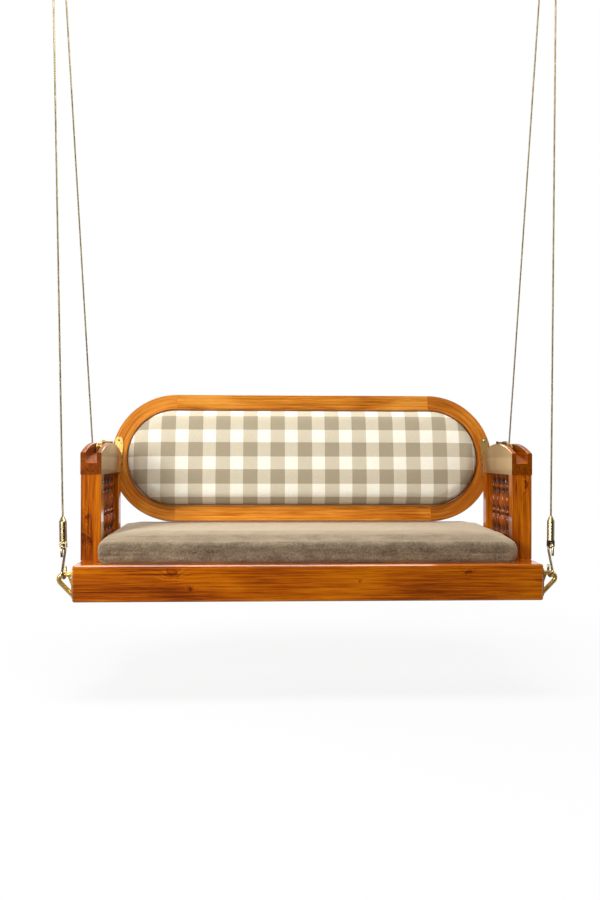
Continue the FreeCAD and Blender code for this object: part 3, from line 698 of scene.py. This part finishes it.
def grow_knots(tree, source, spots, upright):
    """Mask that rises to 1 at each knot, given as (x, z, size) and longer along the grain."""
    waver = field(tree, 55, 4, 0.6)
    centred = add_node(tree, "ShaderNodeVectorMath", {1: (0.5, 0.5, 0.5)}, operation="SUBTRACT")
    spread = add_node(tree, "ShaderNodeVectorMath", {1: (0.03, 0, 0.03)}, operation="MULTIPLY_ADD")
    tree.links.new(source, waver.inputs["Vector"])
    feed(tree,
         (waver, "Color", centred, 0),
         (centred, 0, spread, 0))
    tree.links.new(source, spread.inputs[2])
    total = None
    for x, z, size in spots:
        away = add_node(tree, "ShaderNodeVectorMath", {1: (x, 0, z)}, operation="SUBTRACT")
        squash = (1 / size, 0, 0.45 / size) if upright else (0.55 / size, 0, 1 / size)
        flat = add_node(tree, "ShaderNodeVectorMath", {1: squash}, operation="MULTIPLY")
        square = add_node(tree, "ShaderNodeVectorMath", operation="DOT_PRODUCT")
        minus = maths(tree, "MULTIPLY", -1)
        bell = maths(tree, "EXPONENT")
        feed(tree,
             (spread, 0, away, 0),
             (away, 0, flat, 0),
             (flat, 0, square, 0),
             (flat, 0, square, 1),
             (square, "Value", minus, 0),
             (minus, 0, bell, 0))
        if total is None:
            total = bell.outputs[0]
        else:
            both = maths(tree, "ADD")
            tree.links.new(total, both.inputs[0])
            feed(tree, (bell, 0, both, 1))
            total = both.outputs[0]
    return total


def teak_finish(name, turn=(0, 0, 0), shift=(0, 0, 0), figure=1.0, colours=teak_colours, knots=(), cheek=None,
                coat=1.0):
    """Lacquered teak, its grain turned from X and shifted so that pieces differ.

    A cheek is the distance from the middle within which the faces get a painted reflection, turning pale and
    metallic when seen along the face."""
    finish, shader = start_finish(name, colours[1], 0.3)
    tree = finish.node_tree
    place = add_node(tree, "ShaderNodeTexCoord")
    lay = add_node(tree, "ShaderNodeMapping", {"Location": shift, "Rotation": turn})
    grain = add_node(tree, "ShaderNodeGroup", node_tree=teak_grain)
    grain.name = "grain"
    grain.inputs["Figure"].default_value = figure
    for socket, colour in zip(("Deep", "Warm", "Pale"), colours):
        grain.inputs[socket].default_value = colour
    relief = add_node(tree, "ShaderNodeBump", {"Strength": 0.06, "Distance": 0.0006})
    feed(tree,
         (place, "Object", lay, "Vector"),
         (lay, 0, grain, "Place"))
    if knots:
        mask = grow_knots(tree, place.outputs["Object"], knots, turn == along_z)
        tree.links.new(mask, grain.inputs["Knots"])
    along = add_node(tree, "ShaderNodeVectorMath", {1: grain_axes[turn]}, operation="DOT_PRODUCT")
    either = maths(tree, "ABSOLUTE")
    sawn = map_range(tree, 0.9, 0.98, 0, 0.8)
    wood = add_node(tree, "ShaderNodeMix", {7: shade(196, 184, 160)}, data_type="RGBA", blend_type="MULTIPLY")
    feed(tree,
         (place, "Normal", along, 0),
         (along, "Value", either, 0),
         (either, 0, sawn, "Value"),
         (sawn, 0, wood, 0),
         (grain, "Colour", wood, 6),
         (wood, 2, shader, "Base Color"),
         (grain, "Gloss", shader, "Roughness"),
         (grain, "Relief", relief, "Height"),
         (relief, 0, shader, "Normal"))
    shader.inputs["Specular IOR Level"].default_value = 0.05
    shader.inputs["Coat Weight"].default_value = coat
    shader.inputs["Coat Roughness"].default_value = 0.07
    shader.inputs["Coat IOR"].default_value = 1.5
    # Painted reflection: within the cheek the faces turn pale and metallic at grazing angles.
    if cheek:
        side = add_node(tree, "ShaderNodeSeparateXYZ")
        out = maths(tree, "ABSOLUTE")
        inner = maths(tree, "LESS_THAN", cheek)
        facing = add_node(tree, "ShaderNodeLayerWeight", {"Blend": 0.5})
        grazing_mirror = map_range(tree, 0.48, 0.74, 0, 0.78)
        painted_mirror_share = maths(tree, "MULTIPLY")
        clear = add_node(tree, "ShaderNodeMix", {7: shade(238, 212, 160)}, data_type="RGBA")
        feed(tree,
             (place, "Object", side, 0),
             (side, "X", out, 0),
             (out, 0, inner, 0),
             (facing, "Facing", grazing_mirror, "Value"),
             (inner, 0, painted_mirror_share, 0),
             (grazing_mirror, 0, painted_mirror_share, 1),
             (painted_mirror_share, 0, clear, 0),
             (wood, 2, clear, 6),
             (clear, 2, shader, "Base Color"),
             (painted_mirror_share, 0, shader, "Metallic"))
        smooth = add_node(tree, "ShaderNodeMix", {3: 0.13}, data_type="FLOAT")
        feed(tree,
             (painted_mirror_share, 0, smooth, 0),
             (grain, "Gloss", smooth, 2),
             (smooth, 0, shader, "Roughness"))
    return finish


rail_knots = ((-0.444, rail_high.z - 0.030, 0.020), (-0.386, rail_high.z - 0.075, 0.008),
              (0.512, rail_high.z - 0.026, 0.010), (0.16, rail_high.z - 0.052, 0.007))
dress("front_rail", teak_finish("front rail teak", shift=(0.3, 0.1, 0), knots=rail_knots))
dress("rear_rail", teak_finish("rear rail teak", shift=(2.1, 0.7, 0.2)))
dress("end_rail_right", teak_finish("right end rail teak", along_y, (0.5, 1.3, 0)))
dress("end_rail_left", teak_finish("left end rail teak", along_y, (1.7, 2.2, 0)))

board_colours = shade(150, 112, 70), shade(196, 156, 108), shade(214, 180, 134)
board_finish = teak_finish("plain board", figure=0.6, colours=board_colours)
dress("seat_board", board_finish)
dress("bearers", board_finish)


# Arms: square posts carry an arched beam with an open channel along its top. The inner
# cheeks carry a painted reflection: seen along the face they turn pale and metallic, so they mirror the
# backrest.

arm_low, arm_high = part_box("arm_beam_right")
dark_teak = shade(82, 31, 0), shade(142, 66, 1), shade(184, 98, 4)
post_knots = ((-0.741, rail_high.z + 0.148, 0.011), (-0.752, rail_high.z + 0.074, 0.010),
              (-0.731, rail_high.z + 0.070, 0.009), (0.745, rail_high.z + 0.255, 0.012))
cheek_skin = 0.0016
cheek = arm_low.x + cheek_skin
for side, name in ((1, "right"), (-1, "left")):
    # The left front post's inner face gets the painted reflection too.
    dress("front_post_" + name, teak_finish(name + " front post teak", along_z, (0.4 * side, 0.9, 0.3), 1.3,
                                            knots=post_knots, cheek=cheek if side < 0 else None))
    dress("rear_post_" + name, teak_finish(name + " rear post teak", along_z, (1.4 * side, 0.2, 0.6)))
    dress("arm_beam_" + name, teak_finish(name + " arm teak", along_y, (0.8 * side, 0.5, 0.1),
                                          colours=dark_teak, cheek=cheek, coat=0.15))


# Spindles: five turned balusters between each arm's posts, with two beads, a vase and a
# foot, set in from the arm's inner face. Their narrow necks and grooves are painted darker, as painted shade.

spindle_profile = (
    (0.60, 0.000), (0.74, 0.020), (0.88, 0.090), (0.72, 0.150), (0.45, 0.196),
    (0.42, 0.203), (0.58, 0.221), (0.84, 0.250), (0.60, 0.279), (0.42, 0.296),
    (0.52, 0.330), (0.76, 0.390), (0.97, 0.450), (0.70, 0.472), (0.48, 0.488),
    (0.56, 0.500), (0.88, 0.525), (0.58, 0.546), (0.48, 0.560), (0.72, 0.592),
    (1.00, 0.648), (0.82, 0.705), (0.54, 0.765), (0.42, 0.790), (0.52, 0.812),
    (0.84, 0.844), (0.54, 0.874), (0.42, 0.900), (0.56, 0.940), (0.80, 0.985), (0.80, 1.000),
)
spindle_r = 0.0163
spindle_h = 0.288
spindle_pitch = 0.058
spindle_x = 0.720

bm = bmesh.new()
arm_y = (arm_low.y + arm_high.y) / 2
profile = [(0, 0)] + [(r * spindle_r, z * spindle_h) for r, z in spindle_profile] + [(0, spindle_h)]
for side in (1, -1):
    for i in range(5):
        spot = Vector((side * spindle_x, arm_y + (i - 2) * spindle_pitch, rail_high.z))
        join(bm, turned(profile, 28, Matrix.Translation(spot)))
spindle_finish = teak_finish("spindle teak", along_z, (0.2, 0.4, 0.9), 0.8,
                             (shade(78, 28, 3), shade(140, 62, 10), shade(194, 101, 26)), coat=0.5)
tree = spindle_finish.node_tree
parts = add_node(tree, "ShaderNodeSeparateXYZ")
out = maths(tree, "ABSOLUTE")
across = maths(tree, "SUBTRACT", spindle_x)
# Rows are counted so that a spindle's axis lies half way from one whole number to the next.
row_start = 8.5 - arm_y / spindle_pitch
row = maths(tree, "MULTIPLY_ADD", 1 / spindle_pitch, row_start)
row_part = maths(tree, "FRACT")
length = maths(tree, "MULTIPLY_ADD", spindle_pitch, -spindle_pitch / 2)
from_axis = add_node(tree, "ShaderNodeCombineXYZ")
waist = add_node(tree, "ShaderNodeVectorMath", operation="LENGTH")
# Painted shade: the closer the surface lies to the spindle's axis, the darker it is painted.
painted_groove_shade = map_range(tree, 0.42 * spindle_r, 0.86 * spindle_r, 0.22, 1)
groove_shaded = add_node(tree, "ShaderNodeMix", {0: 1}, data_type="RGBA", blend_type="MULTIPLY")
feed(tree,
     (tree.nodes["Texture Coordinate"], "Object", parts, 0),
     (parts, "X", out, 0),
     (out, 0, across, 0),
     (parts, "Y", row, 0),
     (row, 0, row_part, 0),
     (row_part, 0, length, 0),
     (across, 0, from_axis, "X"),
     (length, 0, from_axis, "Y"),
     (from_axis, 0, waist, 0),
     (waist, "Value", painted_groove_shade, "Value"),
     (tree.nodes["grain"], "Colour", groove_shaded, 6),
     (painted_groove_shade, 0, groove_shaded, 7),
     (groove_shaded, 2, tree.nodes["Principled BSDF"], "Base Color"))
spindles = keep(bm, "turned_spindles", "swing", spindle_finish, 60)
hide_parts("spindles")


# Flip-over fittings: a brass clevis in each arm's channel, the pin that the backrest's
# lever turns on, and a steel stud with a round nut over the inner cheek.

dress("clevises", brass)
dress("pivot_pins", polished_steel)
dress("stay_studs", polished_steel)


# Seat cushion: one thick pad in grey-brown suede cloth, full along its edges and a
# little crowned, with soft creases near its lower front corners.

cloth_frames = 20


def soften(node, name, body, finish, voxel, pressure, reach, form=None, detail=None):
    """A stuffed piece: the CAD solid with an even, smoothed skin, blown up by cloth and held
    within reach of its old place. A form shapes it before that, and a detail after it."""
    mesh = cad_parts[node].data.copy()
    mesh.name = name
    bm = bmesh.new()
    bm.from_mesh(mesh)
    bmesh.ops.remove_doubles(bm, verts=bm.verts, dist=0.00002)
    bm.to_mesh(mesh)
    bm.free()
    mesh.materials.clear()
    mesh.materials.append(finish)
    piece = bpy.data.objects.new(name, mesh)
    bpy.context.collection.objects.link(piece)
    bpy.context.view_layer.objects.active = piece
    remesh = piece.modifiers.new("even skin", "REMESH")
    remesh.mode = "VOXEL"
    remesh.voxel_size = voxel
    bpy.ops.object.modifier_apply(modifier=remesh.name)
    mesh = piece.data
    bm = bmesh.new()
    bm.from_mesh(mesh)
    for _ in range(1 if form else 3):
        bmesh.ops.smooth_vert(bm, verts=bm.verts, factor=0.5, use_axis_x=True, use_axis_y=True,
                              use_axis_z=True)
    bm.to_mesh(mesh)
    bm.free()
    if form:
        form(mesh)
    rest = [v.co.copy() for v in mesh.vertices]
    cloth = piece.modifiers.new("stuffing", "CLOTH")
    cloth.settings.quality = 4
    cloth.settings.use_pressure = True
    cloth.settings.uniform_pressure_force = pressure
    cloth.settings.effector_weights.gravity = 0
    cloth.point_cache.frame_start = 1
    cloth.point_cache.frame_end = cloth_frames
    for step in range(1, cloth_frames + 1):
        bpy.context.scene.frame_set(step)
    bpy.ops.object.modifier_apply(modifier=cloth.name)
    bpy.context.scene.frame_set(1)
    for vert, old in zip(piece.data.vertices, rest):
        move = vert.co - old
        if move.length > reach:
            vert.co = old + move * (reach / move.length)
    if detail:
        finer = piece.modifiers.new("finer skin", "SUBSURF")
        finer.levels = 1
        finer.render_levels = 1
        bpy.ops.object.modifier_apply(modifier=finer.name)
        detail(piece.data)
    piece.data.shade_smooth()
    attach(piece, body)
    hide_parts(node)
    return piece


suede, shader = start_finish("grey-brown suede", shade(134, 117, 95), 0.85)
tree = suede.node_tree
place = add_node(tree, "ShaderNodeTexCoord")
brushed = add_node(tree, "ShaderNodeMapping", {"Scale": (14, 70, 70)})
patches = field(tree, 16, 6, 0.68)
nap = field(tree, 190, 4, 0.8)
strokes = field(tree, 1, 5, 0.65)
patch_share = maths(tree, "MULTIPLY_ADD", 1.4, -2.05)
nap_share = maths(tree, "MULTIPLY_ADD", 2.4)
stroke_share = maths(tree, "MULTIPLY_ADD", 1.3)
# Painted sheen: the cloth is darker seen head-on and lighter seen at a grazing angle, so its top shows lighter
# than its front.
head_on = add_node(tree, "ShaderNodeMix", {6: shade(84, 71, 54), 7: shade(154, 136, 111)}, data_type="RGBA")
painted_sheen = add_node(tree, "ShaderNodeMix", {6: shade(144, 127, 103), 7: shade(186, 168, 141)},
                   data_type="RGBA")
facing = add_node(tree, "ShaderNodeLayerWeight", {"Blend": 0.5})
sheen_share = map_range(tree, 0.2, 0.9)
tint = add_node(tree, "ShaderNodeMix", data_type="RGBA")
fuzz = field(tree, 700, 3, 0.6)
bump = add_node(tree, "ShaderNodeBump", {"Strength": 0.35, "Distance": 0.0008})
for node in (patches, nap, fuzz, brushed):
    feed(tree, (place, "Object", node, "Vector"))
feed(tree,
     (brushed, 0, strokes, "Vector"),
     (patches, "Fac", patch_share, 0),
     (nap, "Fac", nap_share, 0),
     (patch_share, 0, nap_share, 2),
     (strokes, "Fac", stroke_share, 0),
     (nap_share, 0, stroke_share, 2),
     (stroke_share, 0, head_on, 0),
     (stroke_share, 0, painted_sheen, 0),
     (facing, "Facing", sheen_share, "Value"),
     (sheen_share, 0, tint, 0),
     (head_on, 2, tint, 6),
     (painted_sheen, 2, tint, 7),
     (tint, 2, shader, "Base Color"),
     (fuzz, "Fac", bump, "Height"),
     (bump, 0, shader, "Normal"))
shader.inputs["Sheen Weight"].default_value = 0.7
shader.inputs["Sheen Roughness"].default_value = 0.35
shader.inputs["Sheen Tint"].default_value = shade(255, 240, 214)
shader.inputs["Specular IOR Level"].default_value = 0.2

cushion_low, cushion_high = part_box("seat_cushion")
fullness = ((-0.02, -0.21), (0.03, -0.17), (0.09, -0.02), (0.15, 0.07), (0.36, 0.12), (0.48, 0.17),
            (0.57, 0.27))
tucks = ((-0.672, 0.024, 0.045, 0.0050, 0.0090), (-0.60, 0.040, 0.050, 0.0050, 0.0030),
         (0.61, 0.030, 0.060, 0.0050, 0.0030), (0.655, 0.014, 0.035, 0.0045, 0.0026))
edge_share = 0.06
corner_fill = 0.013
top_fill, under_fill = 0.012, 0.006
bulge_from, bulge_over, bulge_out = 0.074, 0.03, 0.003
bulge_full_x = 0.6


def fill_out(mesh):
    """Squarer corners, a lower front, fuller sides and back, and ends that bulge past the front posts."""
    normals = [vert.normal.copy() for vert in mesh.vertices]
    for vert, normal in zip(mesh.vertices, normals):
        back = vert.co.y - cushion_low.y
        edge = min(cushion_high.x - abs(vert.co.x), cushion_high.y - vert.co.y, back)
        lift = fullness[-1][1]
        for (y0, k0), (y1, k1) in zip(fullness, fullness[1:]):
            if y0 <= back <= y1:
                lift = k0 + (k1 - k0) * (back - y0) / (y1 - y0)
        vert.co.z += (vert.co.z - cushion_low.z) * lift * math.exp(-max(edge, 0) / edge_share)
        flat = Vector((normal.x, normal.y, 0))
        corner = (2 * abs(normal.x * normal.y)) ** 2
        rim = (2 * flat.length * abs(normal.z)) ** 2
        vert.co += flat * corner_fill * corner
        vert.co += normal * (top_fill if normal.z > 0 else under_fill) * rim
        bulge = min(max((bulge_from - back) / bulge_over, 0), 1)
        swell = bulge_out * bulge * bulge * (3 - 2 * bulge)
        vert.co.x += math.copysign(swell, vert.co.x) * min(abs(vert.co.x) / bulge_full_x, 1)


front_band = 0.025
dent_depth = 0.0016
dents_along, dents_up = 7, 38
dents_full_z = 0.02


def tuck(mesh):
    """Tucks near the front corners and shallow dents along the front."""
    for vert in mesh.vertices:
        if vert.co.y > cushion_low.y + front_band:
            continue
        height = vert.co.z - cushion_low.z
        for x, z, length, width, depth in tucks:
            vert.co.y += depth * math.exp(-((vert.co.x - x) / length) ** 2 - ((height - z) / width) ** 2)
        dent = noise.noise(Vector((vert.co.x * dents_along, height * dents_up, 2.5)))
        vert.co.y += dent_depth * max(dent, 0) * min(height / dents_full_z, 1)


soften("seat_cushion", "suede_seat_cushion", "swing", suede, voxel=0.009, pressure=3.0,
       reach=0.004, form=fill_out, detail=tuck)


# Backrest frame: two straight teak rails and two half-round ends, butt-jointed, with the
# grain of the ends running round the bend.

recline = math.radians(9)
pin_low, pin_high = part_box("pivot_pins")
pivot = Vector((0, (pin_low.y + pin_high.y) / 2, (pin_low.z + pin_high.z) / 2))


def back_place(tree, source):
    """Coordinates with the backrest upright and its pivot at nought."""
    centre = add_node(tree, "ShaderNodeMapping", {"Location": -pivot})
    upright = add_node(tree, "ShaderNodeMapping", {"Rotation": (recline, 0, 0)})
    tree.links.new(source, centre.inputs["Vector"])
    feed(tree, (centre, 0, upright, "Vector"))
    return upright.outputs[0]


pale_rail = shade(156, 78, 8), shade(216, 128, 34), shade(240, 164, 66)
top_rail = shade(134, 67, 6), shade(194, 116, 30), shade(220, 150, 60)
dress("back_top_rail", teak_finish("back top rail teak", shift=(0.9, 0.35, 0.7), colours=top_rail))
dress("back_bottom_rail", teak_finish("back bottom rail teak", shift=(3.1, 0.15, 0.4), colours=pale_rail))
dress("back_board", board_finish)

end_radius = 0.217
end_shift = 1.7
end_colours = shade(130, 62, 8), shade(190, 110, 28), shade(226, 148, 56)
end_finish = teak_finish("back end teak", colours=end_colours)
tree = end_finish.node_tree
parts = add_node(tree, "ShaderNodeSeparateXYZ")
side_x = maths(tree, "ABSOLUTE")
from_end = maths(tree, "SUBTRACT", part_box("back_top_rail")[1].x)
angle = maths(tree, "ARCTAN2")
along = maths(tree, "MULTIPLY", end_radius)
flat = add_node(tree, "ShaderNodeCombineXYZ")
radius = add_node(tree, "ShaderNodeVectorMath", operation="LENGTH")
other = maths(tree, "GREATER_THAN", 0)
depth = maths(tree, "MULTIPLY_ADD", end_shift)
curved = add_node(tree, "ShaderNodeCombineXYZ")
tree.links.new(back_place(tree, tree.nodes["Texture Coordinate"].outputs["Object"]), parts.inputs[0])
feed(tree,
     (parts, "X", side_x, 0),
     (parts, "X", other, 0),
     (side_x, 0, from_end, 0),
     (parts, "Z", angle, 0),
     (from_end, 0, angle, 1),
     (angle, 0, along, 0),
     (from_end, 0, flat, "X"),
     (parts, "Z", flat, "Z"),
     (flat, 0, radius, 0),
     (other, 0, depth, 0),
     (parts, "Y", depth, 2),
     (along, 0, curved, "X"),
     (depth, 0, curved, "Y"),
     (radius, "Value", curved, "Z"),
     (curved, 0, tree.nodes["grain"], "Place"))
dress("back_ends", end_finish)


# Backrest pads: one on each face of the panel, tightly stuffed and covered in a woven
# gingham check of cream and two greys, about ten centimetres from stripe to stripe.

check_pitch = 0.104
check_dark = 0.055
thread_pitch = 0.0016
blur = 0.006

gingham, shader = start_finish("gingham check", shade(235, 228, 206), 0.85)
tree = gingham.node_tree
place = add_node(tree, "ShaderNodeTexCoord")
parts = add_node(tree, "ShaderNodeSeparateXYZ")
tree.links.new(back_place(tree, place.outputs["Object"]), parts.inputs[0])


def stripes(tree, source, pitch, start, dark):
    """Mask that is 1 in the dark stripes across a coordinate."""
    move = maths(tree, "SUBTRACT", start)
    count = maths(tree, "DIVIDE", pitch)
    turn = maths(tree, "FRACT")
    middle = maths(tree, "SUBTRACT", 0.5)
    away = maths(tree, "ABSOLUTE")
    half = dark / pitch / 2
    edge = map_range(tree, half + blur, half - blur)
    for first, second in zip((move, count, turn, middle, away), (count, turn, middle, away, edge)):
        feed(tree, (first, 0, second, 0))
    tree.links.new(source, move.inputs[0])
    return edge.outputs[0]


columns = stripes(tree, parts.outputs["X"], check_pitch, -0.048, check_dark)
rows = stripes(tree, parts.outputs["Z"], check_pitch, 0.076, check_dark)
both = maths(tree, "ADD")
tone = maths(tree, "MULTIPLY", 0.5)
check = add_node(tree, "ShaderNodeValToRGB")
check.color_ramp.elements[0].color = shade(250, 244, 226)
check.color_ramp.elements[1].color = shade(168, 154, 127)
check.color_ramp.elements.new(0.5).color = shade(212, 200, 174)
tree.links.new(columns, both.inputs[0])
tree.links.new(rows, both.inputs[1])
feed(tree,
     (both, 0, tone, 0),
     (tone, 0, check, "Fac"))

warp = maths(tree, "MULTIPLY", math.tau / thread_pitch)
weft = maths(tree, "MULTIPLY", math.tau / thread_pitch)
warp_wave = maths(tree, "SINE")
weft_wave = maths(tree, "SINE")
weave = maths(tree, "MULTIPLY")
slub = field(tree, 260, 3, 0.6)
threads = map_range(tree, 0.25, 0.75, 0.9, 1.06)
shaded = add_node(tree, "ShaderNodeMix", {0: 1.0}, data_type="RGBA", blend_type="MULTIPLY")
bump = add_node(tree, "ShaderNodeBump", {"Strength": 0.3, "Distance": 0.0004})
feed(tree,
     (parts, "X", warp, 0),
     (parts, "Z", weft, 0),
     (warp, 0, warp_wave, 0),
     (weft, 0, weft_wave, 0),
     (warp_wave, 0, weave, 0),
     (weft_wave, 0, weave, 1),
     (place, "Object", slub, "Vector"),
     (slub, "Fac", threads, "Value"),
     (check, "Color", shaded, 6),
     (threads, 0, shaded, 7),
     (shaded, 2, shader, "Base Color"),
     (weave, 0, bump, "Height"),
     (bump, 0, shader, "Normal"))
shader.inputs["Sheen Weight"].default_value = 0.15

for node in ("front_pad", "rear_pad"):
    soften(node, "gingham_" + node, "backrest", gingham, voxel=0.008, pressure=3.0,
           reach=0.005)


# Straps: a brass strap on each end of the backrest, whose lever runs through the arm's
# channel to the clevis pin, with two domed screws near its rounded ends.

dress("straps", brass)
strap_screw_x = 0.708
strap_screw_z = 0.066
strap_face_y = 0.214
strap_screw_r = 0.0052

bm = bmesh.new()
lean_back = Matrix.Translation(pivot) @ Matrix.Rotation(-recline, 4, "X")
for side in (1, -1):
    for height in (strap_screw_z, -strap_screw_z):
        spot = lean_back @ Vector((side * strap_screw_x, strap_face_y, height))
        outward = lean_back.to_3x3() @ Vector((0, -1, 0))
        screw(bm, spot, outward, strap_screw_r)
keep(bm, "strap_screws", "backrest", polished_steel, 30)
